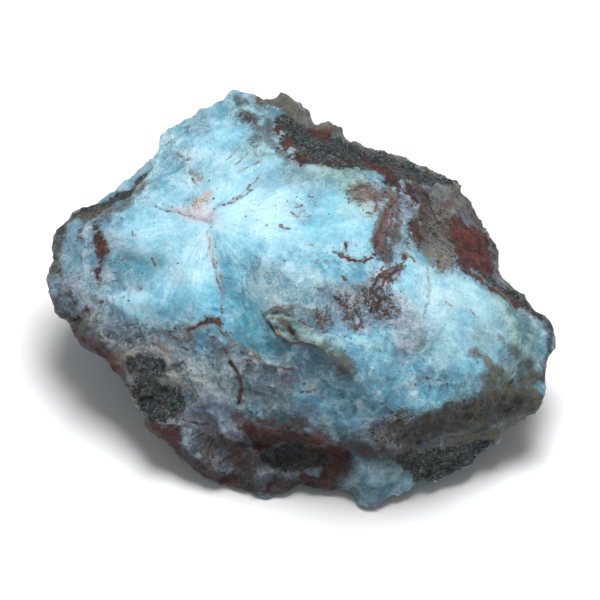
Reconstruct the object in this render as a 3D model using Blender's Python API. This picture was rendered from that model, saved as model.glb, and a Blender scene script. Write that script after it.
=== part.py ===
"""A rough piece of larimar, as broken from the vein: blue pectolite with basalt and iron
oxide still on it. It is one natural piece, so it is one solid, lying on a flat fracture face.

The stone is skinned over points on its ridges, hollows and corners. They are set out in the
frame of its show face: "across" to the right, "up" along the face and "out" of the face, in
millimetres. The show face leans back, so that its "out" points up and forwards (-Y). Two
skins meet at the rim, which is the stone's outline seen straight onto the show face.
"""

import math

import bmesh
import bpy
from mathutils import Vector
from mathutils.geometry import delaunay_2d_cdt

MM = 0.001

# The show face looks this far above the horizon, and its frame's zero is this high.
FACE_PITCH = math.radians(50)
FACE_ZERO_HEIGHT = 22.6

# The rim stands nearer the front at its foot than at its top, and wanders in and out between:
# (turns round the stone, swing, phase).
RIM_OUT_AT_ZERO = -3.0
RIM_OUT_PER_UP = -0.17
RIM_SWINGS = [(3, 2.6, 3.2), (5, 1.6, 2.4), (11, 0.7, 1.0)]

# The rim, clockwise from the left tip: (across, up).
RIM = [
    (-46.0, 4.5), (-44.7, 7.0), (-45.0, 11.6), (-43.2, 14.1), (-40.4, 16.0), (-36.9, 17.6),
    (-33.9, 19.4), (-29.6, 25.3), (-26.5, 25.9), (-25.9, 30.3), (-22.5, 31.3), (-19.1, 33.8),
    (-16.2, 35.3), (-13.0, 37.6), (-9.7, 37.5), (-5.6, 36.7), (-3.1, 37.5), (-1.1, 36.2),
    (1.4, 33.7), (2.9, 31.5), (6.2, 31.9), (8.2, 29.4), (12.7, 27.8), (16.6, 26.7),
    (21.1, 25.6), (25.2, 22.8), (27.7, 22.0), (28.8, 19.3), (33.1, 15.3), (35.1, 9.9),
    (36.1, 5.7), (38.8, 1.1), (42.1, -2.1), (46.6, -3.7), (46.1, -9.3), (43.8, -12.2),
    (44.6, -18.4), (42.2, -21.1), (36.6, -23.8), (36.4, -26.7), (33.2, -28.8), (27.2, -33.7),
    (21.3, -32.9), (17.4, -36.2), (12.5, -38.5), (10.0, -36.4), (8.8, -34.6), (3.4, -34.0),
    (0.6, -34.1), (-5.1, -36.2), (-8.9, -36.1), (-13.2, -34.3), (-19.6, -31.5), (-23.7, -26.6),
    (-27.4, -24.3), (-31.4, -18.7), (-29.7, -15.8), (-36.3, -10.9), (-39.2, -8.6), (-43.7, -2.2),
    (-45.5, 1.0),
]

# Lines on the show face: (across, up, out). Each is a ridge, a valley or a fracture's edge.
FACE_LINES = {
    "crest": [
        (-6.8, 0.0, 19.2), (-4.5, -2.9, 22.0), (1.8, -6.8, 24.6), (8.1, -12.8, 24.2),
        (15.3, -19.4, 19.6), (20.7, -20.7, 18.4), (26.1, -18.4, 17.2), (35.1, -17.6, 9.4),
        (41.4, -15.3, 3.6),
    ],
    "foot_of_crest": [(-9.9, -9.0, 17.4), (0.9, -9.6, 20.4), (7.2, -16.2, 18.8)],
    "seam_down": [
        (-15.3, 14.0, 10.5), (-14.6, 8.1, 12.6), (-14.0, 1.8, 14.4), (-14.0, -4.0, 15.0),
    ],
    "seam_left": [(-15.3, 14.0, 10.5), (-23.4, 16.6, 5.0), (-28.0, 16.4, 1.6)],
    "seam_up": [(-15.3, 14.0, 10.5), (-12.2, 17.1, 9.3), (-6.8, 19.8, 7.6)],
    "left_fan": [(-19.8, 6.8, 13.0), (-19.8, 1.4, 15.6), (-18.0, -2.4, 15.4)],
    "hollow_by_seam": [(-10.8, 4.6, 14.2), (-10.3, -2.7, 15.2), (-11.5, -6.5, 15.6)],
    "band_foot": [
        (-3.4, 29.4, 0.8), (1.8, 24.3, 4.6), (9.0, 24.0, 3.6), (16.2, 21.6, 2.8), (23.4, 20.0, -1.0),
    ],
    "band_middle": [(-0.6, 31.6, -2.6), (7.4, 26.3, -0.6), (17.0, 23.4, -1.6)],
    "rust_ledge": [(-12.6, -23.4, 8.6), (-7.2, -23.4, 11.0), (0.0, -23.2, 12.6), (8.1, -26.0, 10.0)],
    "rust_recess": [(-10.8, -29.6, 3.8), (-5.4, -28.4, 6.2), (3.6, -28.8, 6.8)],
    "spur": [(9.0, -29.7, 7.0), (13.5, -30.6, 8.8), (13.0, -34.4, 5.6)],
    "right_shoulder": [(27.0, 11.7, 5.4), (29.6, 4.0, 8.8), (34.2, -0.9, 7.6), (39.6, -5.4, 4.4)],
    "left_shoulder": [(-27.0, 19.8, -0.5), (-32.4, 15.3, 1.6), (-37.8, 10.8, 2.0), (-40.5, 2.7, 2.4)],
}

# Single points on the show face, in rows from the top down.
FACE_POINTS = [
    (-13.5, 32.0, -3.6), (-6.8, 33.0, -3.5),
    (-18.0, 25.0, 1.5), (-10.8, 26.4, 1.6), (-21.0, 20.0, 3.6), (-14.0, 20.4, 7.0), (-5.0, 23.6, 5.2),
    (-6.3, 10.8, 14.6), (1.8, 15.0, 12.6), (9.0, 12.4, 14.0), (-11.7, 10.4, 13.0), (17.1, 17.0, 7.4),
    (23.4, 15.2, 4.0), (18.9, 12.6, 11.0), (21.6, 8.6, 11.2), (14.0, 7.0, 16.8),
    (-32.8, 10.8, 5.6), (-26.4, 10.4, 8.8), (-28.3, 5.0, 6.2), (-34.2, 4.5, 4.8),
    (-28.8, -0.9, 11.2), (-35.1, -1.8, 5.6), (-23.4, -1.4, 12.4), (-23.6, 4.4, 9.8),
    (-4.5, 5.4, 18.2), (5.4, 6.3, 19.0), (0.0, 1.2, 21.8), (6.6, -0.6, 22.4), (18.0, 3.4, 17.4),
    (12.6, -3.0, 22.2), (7.4, -6.6, 25.0), (16.6, -8.7, 24.8), (11.7, -13.9, 23.6), (17.6, -15.4, 21.4),
    (25.2, 4.4, 12.6), (31.5, 10.0, 0.6), (33.8, 3.8, 2.6), (25.6, -2.4, 16.4), (22.8, -9.4, 18.4),
    (28.4, -11.2, 15.6), (34.4, -8.6, 10.6), (40.2, -10.6, 4.4), (22.2, -15.3, 19.6), (31.0, -14.2, 12.8),
    (-38.7, -4.6, 0.8), (-32.4, -7.2, 4.4), (-24.3, -6.3, 10.6), (-17.1, -7.2, 13.8),
    (-27.4, -11.4, 7.4), (-25.0, -18.2, 4.2), (-21.2, -13.5, 7.2), (-17.0, -13.2, 11.8),
    (-9.9, -16.4, 14.2), (-2.7, -16.4, 16.2), (5.4, -19.4, 16.4), (-16.6, -20.2, 8.4),
    (-20.0, -25.0, 3.6), (-13.4, -28.4, 4.4),
    (28.8, -23.2, 10.6), (37.8, -19.8, 5.6), (21.6, -25.0, 11.4), (14.6, -24.6, 13.0),
    (23.4, -29.2, 4.4), (30.2, -27.2, 4.0),
]

# How sharp the named ridges and valleys are, from 0, melted away, to 1, a knife edge.
LINE_SHARPNESS = {
    "crest": 0.75, "foot_of_crest": 0.3, "seam_down": 0.5, "seam_left": 0.4, "seam_up": 0.4,
    "left_fan": 0.2, "hollow_by_seam": 0.2, "band_foot": 0.7, "band_middle": 0.3,
    "rust_ledge": 0.8, "rust_recess": 0.4, "spur": 0.5, "right_shoulder": 0.55, "left_shoulder": 0.5,
    "base": 0.9, "left_flank_edge": 0.6, "left_back_edge": 0.6, "back_left_edge": 0.6,
    "back_right_edge": 0.6, "right_back_edge": 0.6, "right_flank_edge": 0.6,
}
PLAIN_SHARPNESS = 0.25

# The rim turns from keen edges to worn, rounded ones and back: (mean, swing, turns, phase).
RIM_SHARPNESS = (0.4, 0.3, 4, 0.3)

# The skins turn over near the rim: a ring this far inside it rises, and another falls away.
RING_INSET = 1.7
RING_RISE = 2.8
RING_DROP = 4.5
RING_EVERY = 2
RING_CLEARANCE = 2.4

# Edges between the fracture faces behind and beneath: (x, y, height above the resting plane).
HIDDEN_LINES = {
    "left_flank_edge": [(-42.0, 11.5, 15.0), (-40.5, 12.5, 7.0), (-34.5, 11.0, 1.5)],
    "left_back_edge": [(-37.0, 18.5, 20.0), (-37.0, 19.5, 10.0), (-30.5, 17.0, 1.5)],
    "back_left_edge": [(-16.5, 34.0, 28.0), (-19.0, 33.0, 16.0), (-16.0, 27.5, 2.0)],
    "back_right_edge": [(13.5, 29.0, 22.0), (16.0, 31.0, 12.0), (12.0, 26.5, 2.0)],
    "right_back_edge": [(34.5, 9.5, 15.0), (35.0, 12.5, 7.5), (29.0, 13.0, 1.5)],
    "right_flank_edge": [(42.5, 0.0, 12.5), (41.0, 1.0, 5.0), (34.0, -1.5, 1.5)],
}

# Single hidden points: (x, y, height).
HIDDEN_POINTS = [
    (-2.0, 36.0, 23.0), (-1.5, 34.0, 9.0), (-29.0, 27.5, 19.0), (-28.0, 24.5, 7.0),
    (26.0, 21.5, 18.0), (25.0, 20.5, 6.0), (-26.5, -4.5, 3.6), (-19.0, -14.5, 3.2),
    (-11.0, -21.5, 2.8), (3.0, -23.8, 1.8), (24.0, -20.0, 3.4), (33.0, -12.0, 5.0),
]

# The fracture face it lies on, a little below zero so that it is cut off flat there: (x, y).
BASE_CORNERS = [
    (-28.0, 9.0), (-23.0, 15.5), (-12.0, 23.0), (0.0, 25.0), (10.0, 21.5), (23.0, 10.0),
    (27.0, -2.0), (19.0, -13.5), (7.0, -19.0), (-5.0, -17.0), (-15.0, -9.5), (-22.0, 0.0),
]
BASE_DEPTH = 0.9

# Relief too small for the skins: (kind, size across, height), from lumps down to splinters.
RELIEF = [("CLOUDS", 9.0, 1.6), ("VORONOI", 6.5, 1.3), ("CLOUDS", 3.2, 0.9)]

# The cleaved fans round the star broke flatter: (across, up) of the star, reach, share of relief left.
STAR = (-15.3, 14.0)
FAN_REACH = 24.0
FAN_RELIEF = 0.35

SKIN_LEVELS = 3
MOST_TRIANGLES = 9400


def from_face(across, up, out):
    """A point of the show face's frame, in metres in the stone's own frame."""
    sin, cos = math.sin(FACE_PITCH), math.cos(FACE_PITCH)
    height = up * cos + out * sin + FACE_ZERO_HEIGHT
    return Vector((across, up * sin - out * cos, height)) * MM


def to_face(x, y, height):
    """(across, up, out) of a point given in millimetres in the stone's own frame."""
    sin, cos = math.sin(FACE_PITCH), math.cos(FACE_PITCH)
    z = height - FACE_ZERO_HEIGHT
    return (x, y * sin + z * cos, z * sin - y * cos)


def rim_out(across, up):
    """How far out the rim stands: a plane that leans, and sine waves round the stone."""
    turn = math.atan2(up, across)
    swing = sum(size * math.sin(turns * turn + phase) for turns, size, phase in RIM_SWINGS)
    return RIM_OUT_AT_ZERO + RIM_OUT_PER_UP * up + swing


def rim_sharpness(place):
    """How sharp the rim is at a place on it: a sine wave of the turn round the stone."""
    across, up, _ = to_face(*(place / MM))
    mean, swing, turns, phase = RIM_SHARPNESS
    return mean + swing * math.sin(turns * math.atan2(up, across) + phase)


def rim_points():
    return [(across, up, rim_out(across, up)) for across, up in RIM]


def ring(rise, others):
    """Points just inside the rim, raised by rise out of the face, where no other point is near."""
    rim = [Vector(p) for p in rim_points()]
    taken = [Vector(p[:2]) for p in others]
    points = []
    for i in range(0, len(rim), RING_EVERY):
        along = rim[(i + 1) % len(rim)] - rim[i - 1]
        inward = Vector((along.y, -along.x, 0)).normalized()
        point = rim[i] + inward * RING_INSET + Vector((0, 0, rise))
        if min((point.xy - t).length for t in taken) > RING_CLEARANCE:
            points.append(tuple(point))
    return points


def skin(rim, lines, points, ring_rise):
    """(corners, triangles, {edge: line name}, place of each corner in the list) of a skin.

    It is the Delaunay triangulation across the face that keeps the named lines as edges.
    """
    points = points + ring(ring_rise, points + [p for _, line, _ in lines for p in line])
    placed = list(rim)
    edges = []
    names = []
    for name, line, is_closed in lines:
        first = len(placed)
        placed += line
        pairs = [(first + i, first + i + 1) for i in range(len(line) - 1)]
        if is_closed:
            pairs.append((first + len(line) - 1, first))
        edges += pairs
        names += [name] * len(pairs)
    placed += points
    flat = [Vector(p[:2]) for p in placed]
    verts, made_edges, faces, origins, edge_origins, _ = delaunay_2d_cdt(
        flat, edges, [list(range(len(rim)))], 1, 1e-4
    )
    if any(not o for o in origins):
        raise ValueError("two lines of the stone cross")
    corners = [placed[o[0]] for o in origins]
    sharp = {}
    for pair, source in zip(made_edges, edge_origins):
        for s in source:
            if s < len(edges):
                sharp[tuple(sorted(pair))] = names[s]
    order = [min(o) for o in origins]
    return corners, [list(f) for f in faces], sharp, order


def add_skin(bm, crease, made, rim_verts, sharpness):
    """Puts a skin's faces into the mesh. Its rim corners are the shared rim_verts."""
    corners, faces, sharp, order = made
    verts = []
    for corner, first in zip(corners, order):
        verts.append(rim_verts[first] if first < len(rim_verts) else bm.verts.new(from_face(*corner)))
    for face in faces:
        bm.faces.new([verts[i] for i in face])
    for (a, b), name in sharp.items():
        edge = bm.edges.get((verts[a], verts[b]))
        if edge:
            edge[crease] = sharpness[name]


def stone_cage():
    """The stone's corners and ridges as one closed mesh of triangles."""
    bm = bmesh.new()
    crease = bm.edges.layers.float.new("crease_edge")
    rim = rim_points()
    rim_verts = [bm.verts.new(from_face(*p)) for p in rim]
    face_lines = [(name, line, False) for name, line in FACE_LINES.items()]
    base = [to_face(x, y, -BASE_DEPTH) for x, y in BASE_CORNERS]
    hidden_lines = [(name, [to_face(*p) for p in line], False) for name, line in HIDDEN_LINES.items()]
    hidden_points = [to_face(*p) for p in HIDDEN_POINTS]
    shown = skin(rim, face_lines, FACE_POINTS, RING_RISE)
    hidden = skin(rim, [("base", base, True)] + hidden_lines, hidden_points, -RING_DROP)
    add_skin(bm, crease, shown, rim_verts, LINE_SHARPNESS)
    add_skin(bm, crease, hidden, rim_verts, LINE_SHARPNESS)
    for edge in bm.edges:
        if edge[crease] == 0:
            edge[crease] = PLAIN_SHARPNESS
    for first, second in zip(rim_verts, rim_verts[1:] + rim_verts[:1]):
        bm.edges.get((first, second))[crease] = rim_sharpness(first.co)
    bmesh.ops.recalc_face_normals(bm, faces=bm.faces)
    mesh = bpy.data.meshes.new("stone")
    bm.to_mesh(mesh)
    bm.free()
    return mesh


def weigh_relief(stone):
    """A vertex group holding how rough the fracture is: low on the fans, full elsewhere."""
    group = stone.vertex_groups.new(name="roughness")
    for vert in stone.data.vertices:
        across, up, out = to_face(*(vert.co / MM))
        away = math.hypot(across - STAR[0], up - STAR[1]) / FAN_REACH
        hidden = 0 if out > rim_out(across, up) + 1 else 1
        weight = FAN_RELIEF + (1 - FAN_RELIEF) * min(1, max(away ** 2, hidden))
        group.add([vert.index], weight, "REPLACE")


def add_relief(stone):
    """Lumps, chips and splinters, each a noise pushed along the skin's normals."""
    weigh_relief(stone)
    for i, (kind, across, height) in enumerate(RELIEF):
        texture = bpy.data.textures.new(f"relief_{i}", kind)
        texture.noise_scale = across * MM
        push = stone.modifiers.new(f"relief_{i}", "DISPLACE")
        push.texture = texture
        push.texture_coords = "LOCAL"
        push.vertex_group = "roughness"
        push.mid_level = 0.5
        push.strength = height * MM


def cut_base(stone):
    """Everything under the resting plane is cut off, which leaves one flat face to lie on."""
    mesh = bpy.data.meshes.new("below_the_stone")
    bm = bmesh.new()
    bmesh.ops.create_cube(bm, size=0.2)
    bmesh.ops.translate(bm, verts=bm.verts, vec=(0, 0, -0.1))
    bm.to_mesh(mesh)
    bm.free()
    below = bpy.data.objects.new("below_the_stone", mesh)
    bpy.context.scene.collection.objects.link(below)
    below.hide_render = True
    below.display_type = "WIRE"
    cut = stone.modifiers.new("flat_base", "BOOLEAN")
    cut.operation = "DIFFERENCE"
    cut.object = below


def stone_material():
    material = bpy.data.materials.new("larimar")
    material.use_nodes = True
    surface = material.node_tree.nodes["Principled BSDF"]
    surface.inputs["Base Color"].default_value = (0.36, 0.62, 0.68, 1)
    surface.inputs["Roughness"].default_value = 0.5
    surface.inputs["Metallic"].default_value = 0
    return material


def main():
    for old in list(bpy.data.objects):
        bpy.data.objects.remove(old)
    mesh = stone_cage()
    cage_triangles = len(mesh.polygons)
    stone = bpy.data.objects.new("stone", mesh)
    bpy.context.scene.collection.objects.link(stone)
    mesh.materials.append(stone_material())
    smooth = stone.modifiers.new("skin", "SUBSURF")
    smooth.levels = smooth.render_levels = SKIN_LEVELS
    add_relief(stone)
    thin = stone.modifiers.new("fewer_faces", "DECIMATE")
    thin.ratio = MOST_TRIANGLES / (cage_triangles * 6 * 4 ** (SKIN_LEVELS - 1))
    cut_base(stone)


main()
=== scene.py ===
"""A rough lump of larimar on a pale floor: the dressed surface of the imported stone."""

import math
from functools import partial

import bmesh
import bpy
import numpy as np
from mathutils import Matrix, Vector


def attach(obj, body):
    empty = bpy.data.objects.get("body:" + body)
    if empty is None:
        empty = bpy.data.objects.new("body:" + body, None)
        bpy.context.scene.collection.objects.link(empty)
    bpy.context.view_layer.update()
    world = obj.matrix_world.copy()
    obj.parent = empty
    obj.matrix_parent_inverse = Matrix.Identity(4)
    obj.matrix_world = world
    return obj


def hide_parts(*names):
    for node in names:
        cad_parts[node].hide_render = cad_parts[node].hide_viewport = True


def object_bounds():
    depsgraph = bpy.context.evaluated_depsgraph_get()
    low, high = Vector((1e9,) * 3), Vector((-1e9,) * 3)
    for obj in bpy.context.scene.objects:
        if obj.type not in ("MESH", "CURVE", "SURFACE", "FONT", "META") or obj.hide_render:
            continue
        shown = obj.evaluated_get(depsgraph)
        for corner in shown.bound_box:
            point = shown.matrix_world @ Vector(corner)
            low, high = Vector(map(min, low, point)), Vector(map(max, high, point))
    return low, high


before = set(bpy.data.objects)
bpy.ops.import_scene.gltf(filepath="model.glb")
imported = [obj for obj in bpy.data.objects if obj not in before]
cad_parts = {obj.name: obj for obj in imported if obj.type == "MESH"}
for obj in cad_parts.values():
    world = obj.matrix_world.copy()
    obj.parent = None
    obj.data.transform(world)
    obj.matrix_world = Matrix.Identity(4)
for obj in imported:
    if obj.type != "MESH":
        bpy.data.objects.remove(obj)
cad_box = [list(corner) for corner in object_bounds()]


# The stone's surface. The real one is the fracture left when the lump was broken from its
# vein: pectolite and basalt, unworked. Here a grid of even cells is laid over the packed
# stone and every point of it is a place where the fracture can stand up or fall away.

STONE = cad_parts["stone"]
MM = 0.001
SKIN_CELLS = np.array((176, 132, 84))  # of the grid, along x, y and z
SKIN_REACH = 62 * MM  # further out than any point of the stone


def box_round_ball(cells):
    """Points and quads of a ball of radius 1 whose grid is that of a box's six sides.

    A side's two parameters run from -1 to 1. Each is taken as the tangent of an eighth of a
    turn times itself, and the point they give on the box is moved to distance 1 from its middle.
    """
    steps = [np.arange(n + 1) for n in cells]
    lattice = np.stack(np.meshgrid(*steps, indexing="ij"), axis=-1).reshape(-1, 3)
    outer = ((lattice == 0) | (lattice == cells)).any(axis=1)
    number = np.cumsum(outer) - 1
    stride = np.array(((cells[1] + 1) * (cells[2] + 1), cells[2] + 1, 1))
    spread = np.tan((lattice[outer] / cells * 2 - 1) * math.pi / 4)
    quads = []
    for axis in range(3):
        first, second = (axis + 1) % 3, (axis + 2) % 3
        a, b = np.meshgrid(np.arange(cells[first]), np.arange(cells[second]), indexing="ij")
        for side, turns in ((0, (0, 3, 2, 1)), (cells[axis], (0, 1, 2, 3))):
            corners = np.zeros(a.shape + (4, 3), int)
            corners[..., axis] = side
            for place, turn in enumerate(turns):
                corners[..., place, first] = a + (turn in (1, 2))
                corners[..., place, second] = b + (turn in (2, 3))
            quads.append(number[corners @ stride].reshape(-1, 4))
    return spread / np.linalg.norm(spread, axis=1, keepdims=True), np.concatenate(quads)


def mesh_of(name, points, quads):
    """A new mesh of these points and these four-sided faces."""
    mesh = bpy.data.meshes.new(name)
    mesh.vertices.add(len(points))
    mesh.vertices.foreach_set("co", points.astype(np.float32).ravel())
    mesh.loops.add(quads.size)
    mesh.loops.foreach_set("vertex_index", quads.astype(np.int32).ravel())
    mesh.polygons.add(len(quads))
    mesh.polygons.foreach_set("loop_start", np.arange(0, quads.size, 4, dtype=np.int32))
    mesh.update(calc_edges=True)
    return mesh


def points_of(obj):
    """The object's points with its modifiers done, as an array."""
    shown = obj.evaluated_get(bpy.context.evaluated_depsgraph_get())
    points = np.empty(len(shown.data.vertices) * 3, np.float32)
    shown.data.vertices.foreach_get("co", points)
    return points.reshape(-1, 3).astype(float)


def laid_on(stone, points, quads):
    """The points laid on the stone.

    Each goes straight in until it meets the stone, then they are evened out along it.
    """
    body = bmesh.new()
    body.from_mesh(stone.data)
    bmesh.ops.remove_doubles(body, verts=body.verts, dist=1e-6)
    under = bpy.data.objects.new("under", bpy.data.meshes.new("under"))
    body.to_mesh(under.data)
    body.free()
    bpy.context.scene.collection.objects.link(under)
    soften = under.modifiers.new("soften", "SUBSURF")
    soften.levels = soften.render_levels = 1
    cover = bpy.data.objects.new("cover", mesh_of("cover", points, quads))
    bpy.context.scene.collection.objects.link(cover)
    inward = cover.modifiers.new("inward", "SHRINKWRAP")
    inward.target = under
    inward.wrap_method = "PROJECT"
    inward.use_positive_direction = False
    inward.use_negative_direction = True
    even = cover.modifiers.new("even", "SMOOTH")
    even.factor = 0.5
    even.iterations = 6
    rest = cover.modifiers.new("rest", "SHRINKWRAP")
    rest.target = under
    laid = points_of(cover)
    bpy.data.objects.remove(cover)
    bpy.data.objects.remove(under)
    return laid


def facing(points, quads):
    """Unit normals: the cross products of the quads' diagonals, added up round each point."""
    a, b, c, d = (points[quads[:, corner]] for corner in range(4))
    cross = np.cross(c - a, d - b)
    total = np.zeros_like(points)
    for corner in range(4):
        np.add.at(total, quads[:, corner], cross)
    return total / np.linalg.norm(total, axis=1, keepdims=True)


low, high = (np.array(corner) for corner in cad_box)
ball, QUADS = box_round_ball(SKIN_CELLS)
way_out = ball * (high - low)
way_out /= np.linalg.norm(way_out, axis=1, keepdims=True)
skin = laid_on(STONE, (low + high) / 2 + way_out * SKIN_REACH, QUADS)
NORMALS = facing(skin, QUADS)


# Where things are on the show face. Its markings are placed as they are seen from in front
# of it, 50 degrees above the floor, in steps of 0.18 mm to the right and down, with 300, 300
# in the middle of the stone's height. What can't be seen from there is placed in millimetres.

FACE_PITCH = math.radians(50)
SEEN_FROM = 1.5  # metres from the middle
MIDDLE = np.array((0, 0, 22 * MM))
CENTRE = 300
TURNING = 0.3  # how far a face may turn away before nothing of it is shown
STEP_MM = 0.18
STEP = STEP_MM * MM
TO_FACE = np.array((0, -math.cos(FACE_PITCH), math.sin(FACE_PITCH)))
UP_FACE = np.array((0, math.sin(FACE_PITCH), math.cos(FACE_PITCH)))

from_middle = skin - MIDDLE
nearer = 1 - from_middle @ TO_FACE / SEEN_FROM
right, down = skin[:, 0] / STEP / nearer, -(from_middle @ UP_FACE) / STEP / nearer
SPOTS = np.stack((CENTRE + right, CENTRE + down), axis=1)
PLACES = skin / MM
SHOWN = np.clip((NORMALS @ TO_FACE + TURNING) / TURNING, 0, 1)


def dice(cells, seed):
    """A fixed number from 0 to 1 for each cell: its three are multiplied, joined and folded."""
    cells = cells.astype(np.int64).astype(np.uint32)
    mixed = cells[:, 0] * np.uint32(73856093) ^ cells[:, 1] * np.uint32(19349663)
    mixed ^= cells[:, 2] * np.uint32(83492791) ^ np.uint32(seed * 2654435761 % 2**32)
    for fold, times in ((16, 2246822507), (13, 3266489909), (16, 1)):
        mixed = (mixed ^ mixed >> np.uint32(fold)) * np.uint32(times)
    return mixed / 2**32


def swell(places, size, seed):
    """Smooth bumps from 0 to 1: random heights on the corners of cubes, eased between them."""
    cell = np.floor(places / size)
    ease = places / size - cell
    ease = ease * ease * (3 - 2 * ease)
    height = np.zeros(len(places))
    for corner in np.ndindex(2, 2, 2):
        share = np.prod(np.where(corner, ease, 1 - ease), axis=1)
        height += share * dice(cell + corner, seed)
    return height


def crumple(places, size, seed, octaves=4):
    """Swells of halving size and height added up, from 0 to 1."""
    total = sum(swell(places, size / 2**n, seed + n) / 2**n for n in range(octaves))
    return total / (2 - 2 / 2**octaves)


def chips(places, size, tilt, seed):
    """Hollow chips that meet in ridges, each tilted its own way.

    Every cube of the given size holds one random point. The height is the squared distance to
    the nearest, in cubes, plus a slope through that point in a random direction.
    """
    cell = np.floor(places / size)
    nearest = np.full(len(places), 9.0)
    slope = np.zeros(len(places))
    for corner in np.ndindex(3, 3, 3):
        there = cell + np.array(corner) - 1
        point = there + np.stack([dice(there, seed + k) for k in range(3)], axis=1)
        lean = np.stack([dice(there, seed + 3 + k) for k in range(3)], axis=1) - 0.5
        away = places / size - point
        distance = (away**2).sum(axis=1)
        closer = distance < nearest
        nearest = np.where(closer, distance, nearest)
        slope = np.where(closer, (away * lean).sum(axis=1), slope)
    return nearest + tilt * slope


def blend_in(value, start, end):
    """0 before start and 1 after end, eased between."""
    t = np.clip((value - start) / (end - start), 0, 1)
    return t * t * (3 - 2 * t)


def stroke(path, width, where=SPOTS):
    """How far inside a stroke each place is: its half width less the distance to its path.

    The half width is one number, or one for each corner of the path and even between them.
    """
    path = np.array(path, float)
    widths = np.broadcast_to(np.array(width, float), len(path))
    if len(path) == 1:
        return widths[0] - np.linalg.norm(where - path[0], axis=1)
    inside = np.full(len(where), -1e9)
    for a, b, wide_a, wide_b in zip(path, path[1:], widths, widths[1:]):
        along = np.clip((where - a) @ (b - a) / ((b - a) @ (b - a)), 0, 1)
        away = np.linalg.norm(where - a - along[:, None] * (b - a), axis=1)
        inside = np.maximum(inside, wide_a + along * (wide_b - wide_a) - away)
    return inside


def patch(corners):
    """How far inside a closed outline each place is, in steps: minus outside it."""
    edge = -stroke(corners + corners[:1], 0)
    corners = np.array(corners, float)
    inside = np.zeros(len(SPOTS), bool)
    for a, b in zip(corners, np.roll(corners, -1, axis=0)):
        crosses = (a[1] > SPOTS[:, 1]) != (b[1] > SPOTS[:, 1])
        reach = a[0] + (SPOTS[:, 1] - a[1]) * (b[0] - a[0]) / (b[1] - a[1] + 1e-9)
        inside ^= crosses & (SPOTS[:, 0] < reach)
    return np.where(inside, edge, -edge)


# How the surface broke. The fans cleaved almost flat; everywhere else the stone broke in
# hollow chips, and the basalt and the crystals of the lower front are granular.

STAR = (210, 221)


def shifts(axes, size, reach, seed, octaves=4, seeds_apart=1):
    """A shift for each place, up to half the reach either way: a crumple along each axis."""
    drawn = [crumple(PLACES, size, seed + seeds_apart * k, octaves) - 0.5 for k in range(axes)]
    return np.stack(drawn, axis=1) * reach


wander = shifts(2, 5, 14, 11, 3)
SPOTS_BENT = SPOTS + wander


def strongest(strokes, start=-1, end=1):
    """The strongest stroke at each place of the show face, and 0 where there is none.

    A stroke is its path, its half width and its strength, which is eased in from start to end
    inside its edge. Where a softness follows, it multiplies start and end.
    """
    shares = []
    for path, width, much, *softness in strokes:
        soft = softness[0] if softness else 1
        shares.append(much * blend_in(stroke(path, width, SPOTS_BENT), start * soft, end * soft))
    return np.maximum.reduce(shares) * SHOWN


CLEAVED = [
    ([(165, 245), STAR, (262, 212)], 46, 1, 22), ([STAR, (190, 290)], 30, 1, 18),
    ([(139, 306)], 20, 0.9, 9), ([(300, 215), (360, 215)], 38, 0.8, 20),
    ([(225, 150), (290, 175)], 36, 0.6, 22), ([(425, 285), (470, 335)], 40, 0.85, 18),
    ([(236, 280), (248, 330)], 18, 0.7, 12),
]
CHIPS = ((5.2, 0.75, 1.3, 21), (2.1, 0.34, 1.6, 31))  # size and height in mm, tilt and seed
MEAN_CHIP = 0.45
GRAIN_SIZE, GRAIN_RISE = 2.2, 0.7
SEAM_DEPTH = 0.2
CREST = (-2.5, 1.5)  # steps inside its edge where a ridge begins and where it is full
MARGIN = 0.2 * MM  # as far as the relief may leave the solid's box
SEAMS = [
    ([(210, 221), (210, 239), (212, 258), (219, 275), (222, 288), (222, 318)],
     [1.6, 2.2, 1.6, 1.4, 1.4, 0.8]),
    ([(210, 221), (190, 216), (184, 211), (162, 209), (153, 206)], [1.6, 1.6, 2, 1.4, 0.6]),
    ([(210, 216), (216, 205), (229, 202), (239, 197), (252, 188), (260, 180)],
     [1.2, 1.6, 1.6, 1.4, 1.4, 0.6]),
]
RIDGES = [
    ([(265, 312), (280, 306), (296, 305), (312, 308), (324, 314)], 1.5, 0.4),
    ([(268, 318), (280, 324), (296, 331)], 2, 0.5), ([(279, 333), (291, 340)], 3, 0.6),
    ([(298, 334), (314, 341), (326, 350), (338, 361), (350, 372)], 3, 0.5),
    ([(230, 343), (243, 352), (260, 359), (277, 365), (288, 367)], 1, 0.3), ([(451, 188)], 7, 0.9),
    ([(130, 354), (142, 349), (158, 351), (168, 360), (170, 372), (182, 384)], 3, 0.4),
    ([(272, 313), (286, 313), (298, 318), (310, 324), (318, 328)], 1, -0.7),
    ([(288, 327), (293, 333)], 1.2, -0.7),
    ([(268, 324), (278, 336), (290, 344), (302, 343), (318, 349), (331, 361), (350, 378)], 1, -0.5),
    ([(230, 362), (237, 376), (240, 404)], 1.5, -0.3),
    ([(240, 444), (290, 446), (322, 452), (324, 478)], 3, -0.5), ([(392, 428), (400, 426)], 5, -0.6),
    ([(98, 240), (99, 270)], 3, -0.3),
]

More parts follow.
